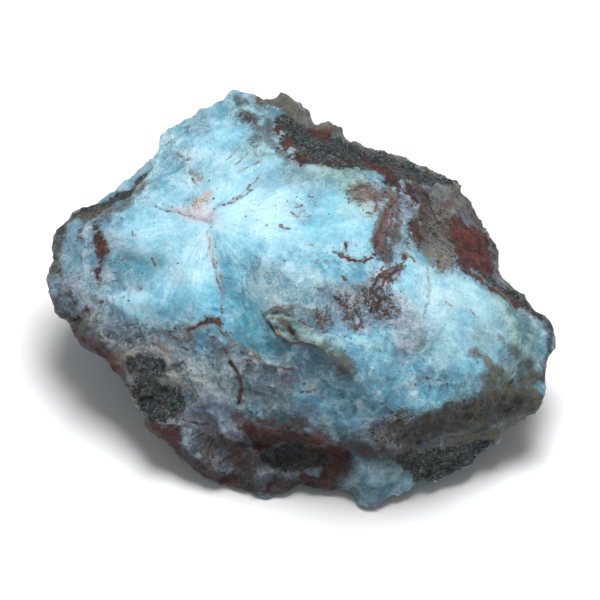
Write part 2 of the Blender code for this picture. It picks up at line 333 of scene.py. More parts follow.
cleaved = strongest(CLEAVED)
bent = PLACES + shifts(3, 3, 3, 81, 3)
relief = sum(rise * (chips(bent, size, tilt, seed) - MEAN_CHIP) for size, rise, tilt, seed in CHIPS)
relief += GRAIN_RISE * (crumple(PLACES, GRAIN_SIZE, 41) - 0.5)
seam = np.maximum.reduce([stroke(*line) for line in SEAMS])
relief = relief * (1 - 0.8 * cleaved) - SEAM_DEPTH * blend_in(seam, *CREST) * SHOWN
for path, width, rise in RIDGES:
    relief += rise * blend_in(stroke(path, width), *CREST) * SHOWN
shaped = np.clip(skin + NORMALS * relief[:, None] * MM, low - MARGIN, high + MARGIN)
shaped[:, 2] = np.maximum(shaped[:, 2], 0)


# The pectolite's colours. White fans of fibres spread from one star into sky blue, and the
# blue goes turquoise in the hollows, mint and sage at the crest, lavender and grey below,
# where the grain is coarser. They grew in the stone, so they are laid in as soft strokes.
# Some strokes are painted light laid in the same way: painted shade in the hollows and under
# the crest, a painted highlight along the crest and on the spur, each marked where it stands.

WHITE, PALE, SKY, BLUE = (188, 229, 243), (152, 210, 230), (120, 196, 221), (82, 162, 189)
TEAL, MIST, MINT, SAGE = (84, 144, 156), (148, 182, 198), (158, 198, 192), (130, 156, 148)
LILAC, LAVENDER, PINK = (186, 196, 214), (140, 146, 166), (222, 208, 214)
SLATE, ASH, SHADE_BLUE, FOG = (112, 132, 146), (116, 116, 124), (62, 106, 120), (146, 158, 166)
PEARL, RIME, ICE, SILVER = (208, 206, 216), (206, 212, 226), (206, 210, 224), (188, 186, 190)
SHELL, CLAY, PEBBLE, STEEL = (222, 176, 150), (190, 140, 110), (150, 150, 142), (122, 156, 166)
CLEAR, SHADE_TEAL, SMOKE, MILK = (150, 180, 204), (100, 150, 170), (166, 178, 178), (176, 182, 186)
BARK, BONE, HOAR = (148, 140, 126), (210, 202, 182), (206, 212, 224)

HIDDEN_BLUES = [
    (SKY, 0.8, 9, [(-18, 30, 12), (-4, 35, 16)], 7),
    (WHITE, 0.8, 8, [(-10, 34, 18)], 5),
    (PALE, 0.6, 8, [(-40, -6, 10), (-34, -14, 12)], 6),
    (LAVENDER, 0.7, 8, [(40, 14, 12), (30, 24, 16)], 7),
    (TEAL, 0.6, 7, [(16, -22, 4), (30, -12, 3)], 5),
    (SKY, 0.6, 8, [(-20, 0, 0), (14, 6, 0)], 12),
]
BLUES = [
    (LAVENDER, 0.75, 26, [(110, 330), (150, 400), (220, 450)], 30),
    (LILAC, 0.5, 18, [(180, 350), (215, 400), (205, 440)], 18),
    (SLATE, 0.8, 18, [(240, 368), (300, 388), (360, 414)], 26),
    (ASH, 0.4, 12, [(250, 366), (310, 372)], 12),
    (MIST, 0.8, 22, [(70, 235), (110, 290)], 26),
    (PALE, 0.9, 18, [(165, 150), (200, 125), (235, 110)], 18),
    (WHITE, 0.5, 12, [(170, 165), (200, 150), (226, 172)], 12),
    (SKY, 0.5, 10, [(190, 138), (215, 142), (225, 130)], 8),
    (PALE, 0.8, 20, [(220, 130), (270, 130), (320, 180)], 26),
    (SAGE, 0.4, 14, [(236, 108), (262, 116)], 12),
    (PALE, 0.9, 26, [(150, 190), (200, 225), (270, 205)], 44),
    (PALE, 0.9, 24, [(190, 282), (190, 250), (250, 280)], 36),
    (SKY, 0.85, 16, [(300, 232), (345, 222), (372, 205)], 24),
    (PALE, 0.8, 14, [(300, 250), (345, 244), (365, 225)], 17),
    (SKY, 0.8, 18, [(270, 260), (300, 290), (360, 300)], 20),
    (SKY, 0.85, 14, [(232, 330), (246, 340), (262, 346)], 13),
    (PALE, 0.9, 20, [(425, 275), (440, 320), (470, 345)], 38),
    (SKY, 0.8, 16, [(384, 372), (410, 400), (400, 416)], 18),
    (SKY, 0.8, 14, [(480, 362), (430, 378)], 14),
    (WHITE, 0.95, 14, [(222, 215), (250, 212), (278, 211)], [10, 20, 19]),
    (WHITE, 0.8, 12, [(262, 226), (276, 246)], 12),
    (WHITE, 0.7, 14, [(205, 232), (192, 262)], [8, 15]),
    (WHITE, 0.5, 10, [(176, 270), (172, 285)], 10),
    (SKY, 0.7, 12, [(165, 300), (200, 300), (204, 318)], 10),
    (WHITE, 0.5, 14, [(205, 225), (170, 232), (136, 248)], [8, 12, 9]),
    (SKY, 0.5, 8, [(150, 243), (190, 232)], 3),
    (WHITE, 0.6, 12, [(205, 205), (212, 180), (232, 166)], [6, 12, 14]),
    (PINK, 0.85, 5, [(172, 211), (190, 212), (207, 214)], [2, 5, 6]),
    (PINK, 0.6, 3, [(208, 236), (211, 250), (216, 268)], 2.4),
    (SHELL, 0.7, 4, [(195, 203), (204, 197)], 3.5),
    (CLAY, 0.6, 4, [(187, 331), (206, 324)], 3),
    (BLUE, 0.35, 3, [(216, 232), (222, 262), (224, 290)], 2),
    (PINK, 0.5, 6, [(198, 182), (190, 168)], 5),
    (WHITE, 1.0, 10, [(134, 304), (140, 312)], 13),
    (PALE, 0.6, 10, [(116, 298), (156, 322)], 10),
    (SKY, 0.7, 8, [(120, 318), (150, 330)], 6),
    (WHITE, 0.6, 6, [(206, 118), (196, 128)], 4),
    (WHITE, 0.9, 12, [(262, 282), (290, 296), (312, 298)], 15),
    (WHITE, 0.8, 8, [(322, 284), (334, 296)], 9),
    (WHITE, 0.7, 10, [(365, 316), (388, 322)], 8),
    (PALE, 0.8, 12, [(350, 345), (385, 345), (372, 372)], 14),
    (WHITE, 0.95, 14, [(430, 292), (452, 292), (440, 276), (436, 322)], 14),
    (WHITE, 0.6, 9, [(470, 294), (484, 316)], 8),
    (LILAC, 0.6, 9, [(408, 318), (422, 328)], 8),
    (SILVER, 0.5, 6, [(402, 300), (410, 314), (416, 326)], [6, 8, 6]),
    (PALE, 0.5, 10, [(436, 334), (470, 342)], 11),
    (PALE, 0.5, 9, [(408, 372), (452, 370)], 9),
    (BLUE, 0.4, 8, [(214, 288), (224, 312)], 8),
    (PALE, 0.8, 6, [(328, 282), (356, 288)], 6),
    (MILK, 0.7, 8, [(176, 372), (198, 394)], 9),
    (PEBBLE, 0.6, 6, [(412, 334), (420, 344)], 6),
    (SAGE, 0.4, 8, [(434, 340), (448, 350)], 8),
    (TEAL, 0.5, 2, [(428, 262), (428, 290), (424, 316)], 0.8),
    (SAGE, 0.45, 12, [(482, 334), (510, 330), (522, 344)], 9),
    (LILAC, 0.9, 7, [(400, 338), (404, 352)], 7),
    (WHITE, 0.7, 5, [(402, 226), (407, 240), (410, 250)], [4, 6, 4]),
    (LILAC, 0.7, 6, [(397, 196), (400, 214)], 5),
    (PALE, 0.8, 5, [(400, 180), (401, 188)], 4),
    (PINK, 0.5, 9, [(358, 186), (372, 200)], 9),
    (PALE, 0.8, 12, [(335, 235), (355, 240)], 13),
    (MINT, 0.8, 11, [(338, 176), (354, 184)], 11),
    (SAGE, 0.6, 11, [(298, 176), (330, 172), (350, 180)], 9),
    (MINT, 0.6, 10, [(345, 208), (362, 208)], 8),
    (MINT, 0.5, 12, [(250, 150), (272, 146)], 9),
    (SAGE, 0.85, 5, [(268, 316), (284, 321), (298, 330)], [3, 6, 6]),
    (SAGE, 0.7, 4, [(272, 326), (284, 336)], 3),
    # Painted highlight: the lit band along the crest.
    (MINT, 0.8, 7, [(290, 323), (312, 333), (330, 346), (340, 360)], [3, 6, 7, 6]),
    (MINT, 0.5, 10, [(196, 368), (220, 376)], 9),
    (LILAC, 0.95, 4, [(188, 367)], 6.5),
    (ICE, 1.0, 2.5, [(189, 366)], 6),
    (TEAL, 0.8, 11, [(112, 262), (140, 268), (158, 262)], [6, 11, 8]),
    (BLUE, 0.5, 8, [(122, 262), (146, 268)], 5),
    # Painted shade in the trough, over its blue.
    (BLUE, 0.85, 11, [(226, 268), (238, 296), (246, 325)], [5, 11, 13]),
    (PALE, 0.8, 9, [(262, 262), (290, 270)], 11),
    (WHITE, 0.5, 9, [(258, 264), (276, 258)], 8),
    (LILAC, 0.8, 8, [(338, 292), (352, 302), (392, 318)], 8),
    (WHITE, 0.7, 7, [(318, 284), (334, 300)], 8),
    (BLUE, 0.5, 4, [(236, 242), (248, 243), (258, 247)], [2, 4, 3]),
    (SKY, 0.8, 8, [(150, 176), (160, 190)], 10),
    (BLUE, 0.3, 7, [(122, 235), (134, 238)], 6),
    (TEAL, 0.7, 8, [(426, 258), (442, 266)], 7),
    # Painted shade in the hollow to the right of the crest.
    (SHADE_BLUE, 0.35, 9, [(346, 366), (366, 376), (384, 386)], 7),
    (PALE, 0.6, 9, [(366, 366), (392, 380), (416, 388)], 9),
    (TEAL, 0.35, 10, [(378, 342), (400, 332)], 6),
    (SAGE, 0.6, 12, [(515, 320), (528, 344)], 12),
    (MINT, 0.5, 10, [(498, 300), (515, 314)], 9),
    (SAGE, 0.6, 10, [(462, 394), (500, 380), (524, 358)], 12),
    # Painted shade along the lower right, which turns down.
    (SHADE_BLUE, 0.7, 9, [(420, 425), (470, 412), (520, 402)], 9),
    (SLATE, 0.4, 9, [(262, 180), (285, 176)], 8),
    (SLATE, 0.35, 9, [(292, 172), (316, 186)], 10),
    (WHITE, 1.0, 9, [(146, 170), (160, 156), (174, 140), (190, 150)], 12),
    (WHITE, 0.6, 9, [(136, 196), (160, 200)], 8),
    (WHITE, 0.7, 9, [(184, 186), (200, 170), (214, 180)], 9),
    (LILAC, 0.8, 8, [(58, 284), (74, 294)], 8),
    (SLATE, 0.6, 8, [(206, 340), (196, 346)], 8),
    (SKY, 0.8, 6, [(201, 336), (200, 346)], 5),
    (SKY, 0.8, 8, [(306, 395), (330, 397)], 9),
    (SKY, 0.6, 7, [(182, 432), (196, 442)], 9),
    # Painted shade beside the small blue patch.
    (SHADE_BLUE, 0.5, 6, [(196, 432), (208, 444)], 5),
    (STEEL, 0.9, 8, [(352, 490), (378, 480), (400, 468)], [12, 15, 12]),
    (SKY, 0.35, 7, [(368, 480), (388, 480)], 8),
    # Painted highlight on the spur.
    (PALE, 0.5, 5, [(374, 480), (382, 486)], 5),
    (LILAC, 0.6, 7, [(356, 462), (374, 468)], 6),
    (ASH, 0.9, 9, [(236, 470), (285, 482)], 10),
    (ASH, 0.8, 8, [(150, 432), (180, 455), (215, 470)], 7),
    (ASH, 0.6, 8, [(200, 400), (226, 440)], 9),
    (SMOKE, 0.85, 8, [(190, 376), (226, 384)], 14),
    (LAVENDER, 0.5, 8, [(198, 404), (222, 414)], 11),
    (FOG, 0.6, 10, [(96, 322), (136, 340)], 12),
    (SLATE, 0.7, 6, [(182, 432), (196, 444)], 8),
    (CLEAR, 0.7, 4, [(182, 432), (188, 437)], 4),
    (ASH, 0.9, 8, [(226, 444), (262, 470)], 9),
    # Painted shade below the crest's end.
    (BLUE, 0.45, 12, [(338, 390), (372, 404)], 13),
    (SKY, 0.6, 10, [(330, 408), (354, 424)], 10),
    (SKY, 0.7, 10, [(210, 298), (226, 318)], 9),
    (PALE, 0.6, 8, [(244, 244), (268, 262)], 10),
    (PALE, 0.6, 8, [(326, 286), (346, 300)], 9),
    (PALE, 0.5, 8, [(330, 330), (352, 346)], 9),
    (SKY, 0.6, 8, [(432, 388), (468, 384)], 10),
    (LILAC, 0.8, 4, [(401, 187), (406, 200), (413, 206)], 4),
    (LILAC, 0.7, 5, [(376, 274), (362, 292), (372, 310), (392, 300)], 7),
    (LILAC, 0.7, 5, [(336, 298), (350, 320), (364, 326)], 7),
    (PEARL, 0.9, 7, [(392, 270), (378, 284), (356, 300), (340, 306)], [6, 10, 13, 9]),
    (RIME, 0.8, 5, [(372, 306), (384, 314)], 7),
    (PALE, 0.8, 9, [(284, 246), (306, 256)], 12),
    (WHITE, 0.8, 9, [(268, 268), (296, 278), (322, 286), (344, 292)], 10),
    (HOAR, 0.8, 6, [(330, 292), (348, 304)], 10),
    # Painted shade in the trough.
    (TEAL, 0.45, 12, [(238, 296), (250, 326), (276, 346)], 12),
    # Painted shade under the crest.
    (SHADE_TEAL, 0.65, 10, [(290, 352), (318, 372), (344, 392)], 12),
    (BARK, 0.85, 2, [(217, 329), (230, 342), (243, 352), (258, 359), (272, 365), (290, 369)], 1.2),
    (BONE, 0.9, 1.5, [(246, 353), (256, 357), (264, 361)], 1.3),
]


def light_of(colour):
    """A colour given from 0 to 255 as it looks, turned into amounts of light."""
    share = np.array(colour) / 255
    return np.where(share < 0.04045, share / 12.92, ((share + 0.055) / 1.055) ** 2.4)


def towards(tint, colour, share):
    """The tint moved to the colour by a share of the way at each place."""
    return tint + (light_of(colour) - tint) * share[:, None]


def laid_in(tint, strokes, where, shown):
    """The tint with each stroke mixed in: its opacity, eased in across its soft edge."""
    for colour, opacity, softness, path, width in strokes:
        inside = blend_in(stroke(path, width, where), -softness, softness * 0.6)
        tint = towards(tint, colour, opacity * inside * shown)
    return tint


PLACES_BENT = PLACES + shifts(3, 14, 22, 101, seeds_apart=9)
tint = towards(light_of(SLATE), PALE, blend_in(crumple(PLACES, 13, 51), 0.35, 0.65))
tint = towards(tint, LAVENDER, 0.6 * blend_in(crumple(PLACES, 17, 61), 0.5, 0.65))
tint = laid_in(tint, HIDDEN_BLUES, PLACES_BENT, 1 - SHOWN)
tint = laid_in(tint, BLUES, SPOTS_BENT, SHOWN)

SILKS = [
    ([(165, 245), STAR, (270, 208)], 40, 1), ([STAR, (190, 290)], 30, 1), ([(139, 306)], 18, 1),
    ([(430, 285), (465, 330)], 34, 1),
]
silk = 0.25 + 0.75 * strongest(SILKS, -22, 8)


# The fibres' run. They are parallel needles that spread from the star's middle, so their
# streaks are fine across the spread and long along it. The right face spreads from the crest.

SECOND_STAR = (372, 258)
STREAKS, STREAK_LENGTH = 17, 40  # round a radian, and in steps along the fibre
LAYER_LENGTH, LAYER_HEIGHT, LAYER_DEPTH = 22, 2.2, 3  # two in steps, the last in mm
HIDDEN_RUN = np.array(((0.12, 0, 0.3), (0.05, 0.2, 0.3), (-0.1, 0.1, 0.9)))
LAYERS = [
    ([(290, 140), (350, 160), (450, 180)], 26, 17),
    ([(395, 468), (440, 466), (490, 448)], 22, -14),
]

from_star = SPOTS - np.array(STAR)
from_second = SPOTS - np.array(SECOND_STAR)
on_right = blend_in(SPOTS[:, 0] - 0.15 * SPOTS[:, 1], 330, 348)[:, None]
spread = from_star * (1 - on_right) + from_second * on_right
angle = np.arctan2(spread[:, 1], spread[:, 0])
around = (STREAKS * np.cos(angle), STREAKS * np.sin(angle))
flow = np.stack((*around, np.hypot(*spread.T) / STREAK_LENGTH), axis=1)
for path, width, slant in LAYERS:
    cos, sin = math.cos(math.radians(slant)), math.sin(math.radians(slant))
    along, across = SPOTS @ (cos, sin) / LAYER_LENGTH, SPOTS @ (-sin, cos) / LAYER_HEIGHT
    layered = np.stack((along, across, PLACES[:, 1] / LAYER_DEPTH), axis=1)
    flow += (layered - flow) * (blend_in(stroke(path, width), -6, 4) * SHOWN)[:, None]
flow += (PLACES @ HIDDEN_RUN.T - flow) * (1 - SHOWN)[:, None]


# The basalt. Larimar fills cavities in it, and what is left of its walls lies as dark granular
# bands and lumps on the stone, a little below the harder pectolite, with crisp ragged borders.

BASALT_PATCHES = [
    [(273, 116), (283, 111), (298, 119), (313, 129), (330, 132), (350, 141), (372, 149), (392, 156),
     (412, 160), (430, 170), (446, 181), (430, 184), (412, 181), (398, 178), (384, 172), (368, 167),
     (350, 167), (330, 164), (300, 163), (291, 157), (296, 149), (285, 140), (279, 128)],
    [(121, 362), (130, 357), (142, 356), (158, 358), (167, 364), (165, 372), (157, 379), (168, 386),
     (180, 394), (186, 404), (178, 417), (165, 422), (147, 419), (138, 408), (132, 394), (133, 380),
     (126, 370)],
    [(257, 453), (272, 448), (292, 446), (310, 449), (323, 452), (322, 463), (312, 471), (292, 475),
     (275, 468), (262, 462)],
    [(390, 456), (408, 452), (425, 449), (450, 447), (475, 443), (494, 438), (496, 450), (482, 464),
     (462, 476), (448, 482), (430, 487), (416, 484), (409, 474), (400, 465)],
]
BASALT_STROKES = [
    ([(58, 226), (75, 214), (95, 206), (112, 200), (128, 192), (140, 178), (150, 168)],
     [2.5, 3.5, 4, 4.5, 3.5, 1.5, 0.5]),
    ([(392, 428), (400, 426)], 4),
    ([(478, 266), (495, 281), (510, 293), (525, 304), (541, 316)], [1, 3, 3.5, 3, 1.5]),
    ([(250, 489)], 4), ([(65, 318), (80, 320)], 3.5), ([(58, 271)], 3),
    ([(400, 168), (440, 180), (462, 186)], [6, 5, 2]),
]
BASALT_HIDDEN = [
    ([(-46, 4, 14), (-42, 14, 20), (-34, 22, 20), (-24, 28, 20)], [4, 5, 5, 3]),
    ([(2, 34, 30), (14, 32, 28), (28, 24, 24), (36, 14, 20)], [7, 9, 8, 5]),
    ([(20, 34, 10), (4, 36, 6)], [5, 4]), ([(42, -4, 8), (36, -10, 4)], 4),
    ([(-32, -10, 4), (-24, -20, 8)], 4), ([(8, -28, 3), (22, -24, 3)], 4),
    ([(0, 10, 0), (14, 16, 0)], 6),
]

TURN = 6  # mm over which borders give way where the show face turns out of sight
SINK = 0.25 * MM
behind = TURN * (1 - SHOWN)


def vein(path, width, where, step=STEP_MM):
    """How far inside a stroke each place is, in mm, steeper for thin ones: they fray less."""
    return stroke(path, width, where) * step / min(1, 0.28 + 0.8 * step * np.mean(width))


def least(value):
    """The value held between 4 mm outside and 4 mm inside."""
    return np.clip(value, -4, 4)


def mineral(patches, strokes, hidden, where):
    """How far inside a mineral each place is, in mm: the most of its outlines and veins.

    Those of the show face stop where it turns out of sight, and the hidden ones begin there.
    """
    outlines = [patch(corners) * STEP_MM for corners in patches]
    front = np.maximum.reduce(outlines + [vein(*line, where) for line in strokes])
    back = np.maximum.reduce([vein(*line, PLACES_BENT, 1) for line in hidden])
    return least(np.maximum(front - behind, back - TURN * SHOWN))


crooked_spots = SPOTS + 0.35 * wander + shifts(2, 1.6, 5, 15, 2)
basalt = mineral(BASALT_PATCHES, BASALT_STROKES, BASALT_HIDDEN, SPOTS)
shaped -= NORMALS * (SINK * blend_in(basalt, -0.2, 0.6))[:, None]
shaped[:, 2] = np.maximum(shaped[:, 2], 0)


# The iron. It came in along cracks as red haematite and brown and orange rust, so it runs in
# veins and streaks, lies in the breaks next to the basalt, and stains what is near.

IRON_PATCHES = [
    [(446, 219), (458, 212), (470, 222), (481, 224), (489, 240), (496, 256), (499, 274), (490, 275),
     (478, 274), (466, 271), (457, 264), (455, 252), (450, 236)],
    [(236, 421), (262, 427), (285, 428), (300, 427), (318, 436), (352, 455), (345, 470), (338, 478),
     (322, 478), (324, 450), (300, 447), (275, 447), (255, 453), (245, 440)],
    [(146, 421), (165, 424), (180, 420), (181, 432), (178, 446), (165, 440), (152, 432)],
]
IRON_STROKES = [
    ([(96, 228), (98, 240), (101, 250), (98, 262), (97, 270), (99, 284)], [3.5, 5.5, 6, 3.5, 2.5, 2]),
    ([(81, 229), (82, 239)], 1.6), ([(68, 292)], 3), ([(59, 294)], 1.8), ([(72, 303)], 2.5),
    ([(86, 309)], 2.2), ([(97, 303), (106, 304)], 1.3), ([(208, 321), (217, 322)], 3.4),
    ([(204, 323), (196, 328), (187, 331)], [1.2, 0.9, 0.7]),
    ([(231, 362), (236, 372), (238, 380), (239, 392), (240, 404)], [0.7, 1.4, 2.3, 2.5, 1.4]),
    ([(238, 380), (244, 374), (250, 371)], [1.2, 0.8, 0.5]), ([(278, 128)], 5), ([(288, 144)], 8),
    ([(314, 130), (328, 136)], 4), ([(292, 157), (303, 159)], 4),
    ([(366, 160), (378, 166), (388, 176), (397, 181)], [3, 5, 6, 4]), ([(318, 162), (332, 164)], 2.5),
    ([(345, 159), (360, 160)], 2),
    ([(466, 271), (484, 283), (504, 295), (517, 304), (531, 311), (545, 318)],
     [2, 2.2, 2.2, 2, 1.5, 1]),
    ([(300, 478), (326, 484)], 4), ([(176, 450), (190, 462)], 3),
    ([(200, 470), (215, 478), (232, 482)], [3, 5, 4]),
    ([(64, 324), (80, 337), (97, 350), (112, 362), (124, 374)], [2, 3.5, 3.5, 4, 3]),
    ([(409, 223), (414, 230), (421, 242)], [1.6, 3, 2]), ([(405, 257)], 2.4),
    ([(408, 187), (414, 200)], 1.6), ([(420, 190), (428, 200)], 1.6),
    ([(392, 184), (391, 203), (385, 220), (379, 240), (373, 256)], [1, 1.1, 1.3, 1.5, 1.8]),
    ([(373, 257), (362, 262), (349, 259), (338, 254)], [2, 1.8, 1.3, 0.8]),
    ([(346, 244), (347, 256)], 1), ([(316, 262), (326, 262)], 1.3), ([(344, 276)], 1.6),
    ([(349, 200)], 1.2), ([(430, 421)], 2.6), ([(392, 268), (384, 276)], 1.4),
]
IRON_HIDDEN = [
    ([(36, 10, 18), (39, 2, 12), (44, -2, 8)], [5, 5, 3]),
    ([(-14, 33, 22), (-2, 35, 14), (2, 36, 8)], [3, 3.5, 2]),
    ([(-24, -18, 3), (-10, -26, 2), (10, -24, 2)], [2, 3, 2]), ([(26, 26, 26), (36, 18, 24)], [2, 3]),
    ([(-44, -2, 10), (-40, -8, 5)], [2, 3]), ([(-10, 0, 0), (6, -12, 0)], [3, 2]),
]
iron = mineral(IRON_PATCHES, IRON_STROKES, IRON_HIDDEN, crooked_spots)


# The earths. Rust, clay and ground basalt have settled in the breaks and stain them olive,
# dun and umber, thickest along the crest, the ledge and the foot. Some faces are left clean.
# The moss under the crest is a painted shadow.

OLIVE, DUN, TAUPE, UMBER = (108, 106, 76), (130, 124, 104), (134, 118, 112), (84, 60, 54)
CREAM, MAUVE, GREY, MOSS = (196, 184, 162), (138, 122, 128), (160, 162, 156), (74, 76, 56)
RUSSET, TAN, STRAW, CHALK = (118, 72, 54), (152, 128, 106), (150, 144, 116), (206, 203, 192)
SOILS = [
    (DUN, 1.0, 5, [(262, 99), (285, 101), (300, 113), (318, 125), (338, 132), (362, 140), (400, 150),
     (440, 168)], [6, 9, 9, 8, 8, 7, 7, 6]),
    (OLIVE, 0.8, 4, [(385, 152), (402, 160)], 5),
    (GREY, 0.9, 4, [(300, 118), (316, 127)], 5),
    (MOSS, 0.9, 8, [(58, 222), (52, 250), (50, 275)], [8, 9, 7]),
    (DUN, 0.7, 8, [(84, 214), (118, 206), (150, 180)], [9, 8, 4]),
    (TAUPE, 0.3, 6, [(168, 150), (182, 132), (206, 112)], [3, 5, 4]),
    (OLIVE, 0.6, 4, [(238, 99), (258, 98)], 4),
    (OLIVE, 0.6, 5, [(268, 312), (282, 309), (298, 310), (312, 316)], [2, 4, 4, 4]),
    (MOSS, 0.6, 2, [(274, 313), (288, 314), (298, 318)], [1, 2.5, 1.5]),
    (OLIVE, 0.75, 4, [(266, 318), (275, 330), (286, 340)], [2, 3, 3]),
    (OLIVE, 0.7, 3, [(274, 319), (288, 324), (298, 330)], [2, 4, 3]),
    (CREAM, 0.8, 1.5, [(266, 314), (276, 308), (288, 306)], 1.2),
    (CREAM, 0.8, 2, [(330, 355), (340, 364), (350, 373)], 2.5),
    (STRAW, 0.7, 9, [(300, 333), (318, 342), (332, 352), (346, 362), (360, 376)], [1, 5, 9, 10, 4]),
    (DUN, 0.9, 4, [(296, 336), (312, 342), (323, 349), (333, 357), (344, 366), (356, 376)],
     [1, 3, 4, 4, 3, 2]),
    # Painted shadow under the crest.
    (MOSS, 0.45, 6, [(300, 348), (322, 360), (338, 370), (354, 379)], [3, 5, 5, 3]),
    (CREAM, 0.9, 2, [(278, 331), (286, 337), (293, 341)], [2, 3.5, 2]),
    (CREAM, 0.6, 3, [(300, 338), (316, 344)], 2),
    (CREAM, 0.9, 1.5, [(251, 354), (257, 356), (263, 359)], 1.3),
    (CREAM, 0.9, 1.5, [(272, 363), (284, 366)], 0.9),
    (OLIVE, 0.5, 3, [(217, 330), (230, 342), (243, 352), (262, 360)], 1.5),
    (TAUPE, 0.6, 3, [(276, 364), (293, 369)], 2),
    (TAUPE, 0.3, 7, [(318, 316), (330, 322)], 5),
    (MAUVE, 0.2, 6, [(342, 302), (352, 312), (356, 322)], 5),
    (UMBER, 0.75, 5, [(398, 268), (388, 277), (376, 284), (370, 290)], [3, 5, 5, 4]),
    (UMBER, 0.6, 6, [(380, 290), (382, 304), (392, 309)], [4, 5, 3]),
    (MAUVE, 0.9, 6, [(392, 196), (389, 215), (387, 235), (385, 252)], [8, 12, 15, 11]),
    (TAN, 0.85, 7, [(354, 194), (370, 194), (384, 190)], [7, 10, 8]),
    (DUN, 0.6, 7, [(368, 214), (380, 208)], 8),
    (RUSSET, 0.6, 3, [(373, 195), (376, 208)], 2),
    (RUSSET, 0.6, 3, [(353, 193), (362, 188), (368, 189)], 1.5),
    (OLIVE, 0.95, 7, [(416, 192), (428, 208), (432, 226), (430, 244)], [8, 11, 12, 8]),
    (RUSSET, 1.0, 3, [(407, 186), (411, 198), (418, 208)], [3, 5, 2]),
    (RUSSET, 1.0, 3, [(418, 188), (427, 198)], [3, 5]),
    (MAUVE, 0.9, 2.5, [(415, 189), (418, 200)], 3),
    (RUSSET, 1.0, 3, [(409, 222), (414, 231), (421, 243)], [3, 5, 3]),
    (CREAM, 0.4, 5, [(410, 260), (421, 268)], 3),
    (TAN, 0.6, 5, [(424, 236), (428, 250)], 5),
    (GREY, 1.0, 6, [(438, 206), (443, 232), (446, 260)], [10, 14, 10]),
    (DUN, 0.8, 6, [(422, 244), (436, 262)], 7),
    (DUN, 0.6, 6, [(412, 222), (420, 250)], 6),
    (GREY, 0.95, 4, [(450, 186), (452, 196)], 8),
    (DUN, 1.0, 6, [(466, 188), (482, 206), (497, 236), (505, 262), (514, 286), (532, 302), (551, 318)],
     [8, 8, 8, 8, 7, 5, 4]),
    (GREY, 0.9, 5, [(436, 192), (444, 204)], 8),
    (TAUPE, 1.0, 6, [(452, 202), (466, 206), (478, 222)], 8),
    (TAUPE, 1.0, 5, [(345, 142), (365, 149), (400, 157)], 7),
    (OLIVE, 0.85, 10, [(400, 438), (428, 422), (456, 412), (484, 400), (512, 390), (540, 380)],
     [8, 10, 12, 14, 16, 10]),
    (MOSS, 1.0, 8, [(412, 436), (450, 420), (490, 410), (535, 400)], [14, 19, 19, 12]),
    (OLIVE, 0.9, 8, [(380, 448), (420, 452), (480, 436), (505, 432), (524, 420), (546, 400)],
     [6, 6, 9, 9, 8, 6]),
    (DUN, 0.85, 8, [(474, 353), (486, 361), (500, 370)], [6, 9, 8]),
    (OLIVE, 0.6, 10, [(515, 350), (535, 375)], 10),
    (OLIVE, 0.8, 10, [(486, 376), (510, 384), (530, 386)], 11),
    (TAN, 0.55, 5, [(495, 334), (502, 340)], 4),
    (TAN, 0.5, 3, [(414, 378), (426, 376), (438, 370)], 2),
    (UMBER, 0.9, 4, [(553, 322), (551, 350), (545, 380)], [4, 5, 4]),
    (TAUPE, 0.7, 12, [(70, 306), (88, 330), (130, 360), (185, 376)], [7, 13, 16, 10]),
    (UMBER, 0.95, 7, [(52, 296), (72, 330), (100, 355), (128, 385)], [4, 7, 8, 6]),
    (OLIVE, 0.6, 9, [(80, 318), (104, 330)], 8),
    (TAUPE, 0.6, 9, [(150, 335), (195, 342), (228, 352)], [7, 9, 8]),
    (CHALK, 0.8, 5, [(130, 353), (142, 348), (158, 349), (170, 358), (173, 371), (186, 383),
     (194, 397)], [2, 4, 5, 5, 4, 5, 3]),
    (TAUPE, 0.6, 12, [(190, 424), (215, 446)], 16),
    (TAUPE, 0.5, 8, [(172, 340), (186, 352)], 7),
    (UMBER, 0.9, 8, [(212, 440), (232, 452), (250, 470)], [6, 9, 10]),
    (MAUVE, 0.8, 8, [(268, 122), (272, 140), (286, 160)], [6, 7, 5]),
    (TAUPE, 0.6, 8, [(243, 114), (254, 126), (262, 142)], 8),
    (OLIVE, 0.6, 9, [(196, 374), (212, 392)], 8),
    (UMBER, 0.95, 9, [(150, 432), (190, 466), (240, 486), (330, 488)], [9, 12, 11, 8]),
    (UMBER, 0.95, 8, [(150, 395), (150, 430)], 6),
    (TAUPE, 0.5, 14, [(245, 352), (255, 392), (300, 425), (345, 440)], [8, 12, 12, 10]),
    (UMBER, 0.9, 7, [(236, 416), (300, 426), (346, 452), (340, 482)], [7, 9, 8, 6]),
    (TAUPE, 0.3, 18, [(262, 376), (310, 395)], 16),
    (OLIVE, 0.5, 5, [(150, 262), (158, 265)], 2),
    (OLIVE, 0.5, 4, [(132, 234)], 2),
    (CREAM, 0.5, 5, [(188, 166), (198, 178)], 3),
    (TAUPE, 0.5, 9, [(384, 412), (404, 420)], 7),
    (GREY, 0.9, 5, [(382, 432), (404, 420)], 7),
    (TAUPE, 0.7, 8, [(350, 446), (372, 456), (400, 450)], 8),
    (TAUPE, 0.35, 12, [(300, 208), (318, 200)], 9),
    (UMBER, 0.5, 5, [(372, 286), (386, 290), (398, 284)], 6),
    (MAUVE, 0.6, 6, [(374, 300), (392, 304)], 6),
]
CLEANS = [
    ([(136, 307)], 16, 8), ([(201, 341)], 6, 4), ([(188, 367)], 7, 3), ([(194, 378), (216, 382)], 9, 6),
    ([(190, 436)], 8, 4), ([(320, 396)], 10, 6), ([(376, 482)], 13, 6), ([(262, 477)], 9, 5),
    ([(480, 361)], 3, 2), ([(401, 186), (407, 202), (413, 206)], 3.5, 2),
    ([(404, 226), (410, 250)], 5, 3), ([(391, 222)], 3, 2), ([(394, 241)], 3, 2),
]
soil = np.tile(light_of(TAUPE), (len(PLACES), 1))
